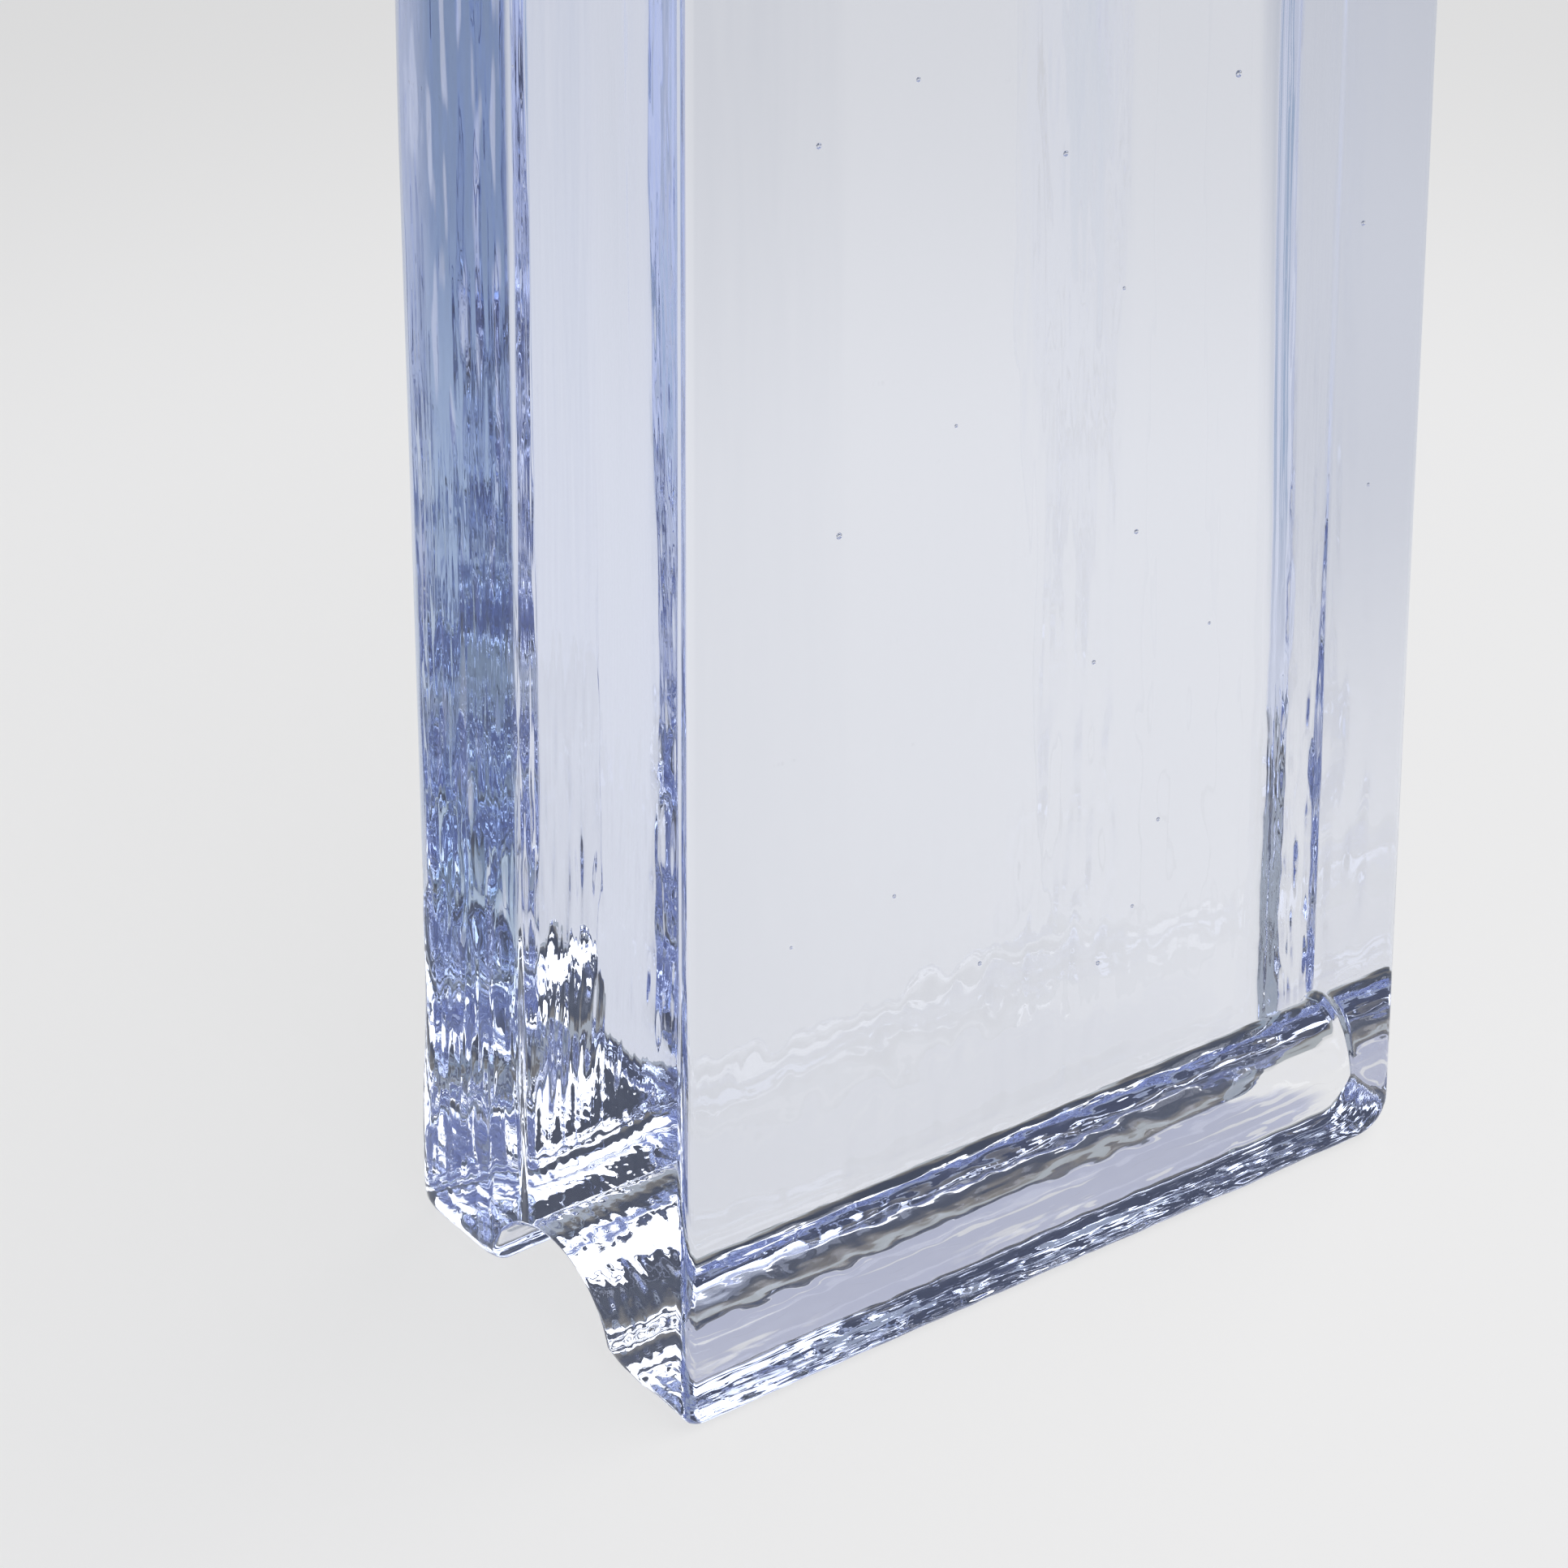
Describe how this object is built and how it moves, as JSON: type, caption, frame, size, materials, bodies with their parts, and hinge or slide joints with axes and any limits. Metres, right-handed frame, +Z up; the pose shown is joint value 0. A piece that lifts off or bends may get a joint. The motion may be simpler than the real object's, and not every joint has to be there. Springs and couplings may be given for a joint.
{
  "type": "glass block",
  "caption": "Solid cast glass block with a polished front, a sunken, round-edged back and a half-round groove across one end.",
  "frame": {"origin": "middle of the footprint, on the plane that the two feet beside the groove stand on", "axes": "+Z up the length, +X along the width to the right as seen from the polished front face, +Y through the thickness towards the sunken, round-edged back"},
  "size_m": [0.115, 0.0625, 0.24],
  "materials": {
    "clear_glass": "clear cast glass with a faint blue-violet cast, polished front, rippled mould-made sides and back"
  },
  "bodies": {
    "root": {"glass_block": "clear_glass"}
  },
  "joints": []
}
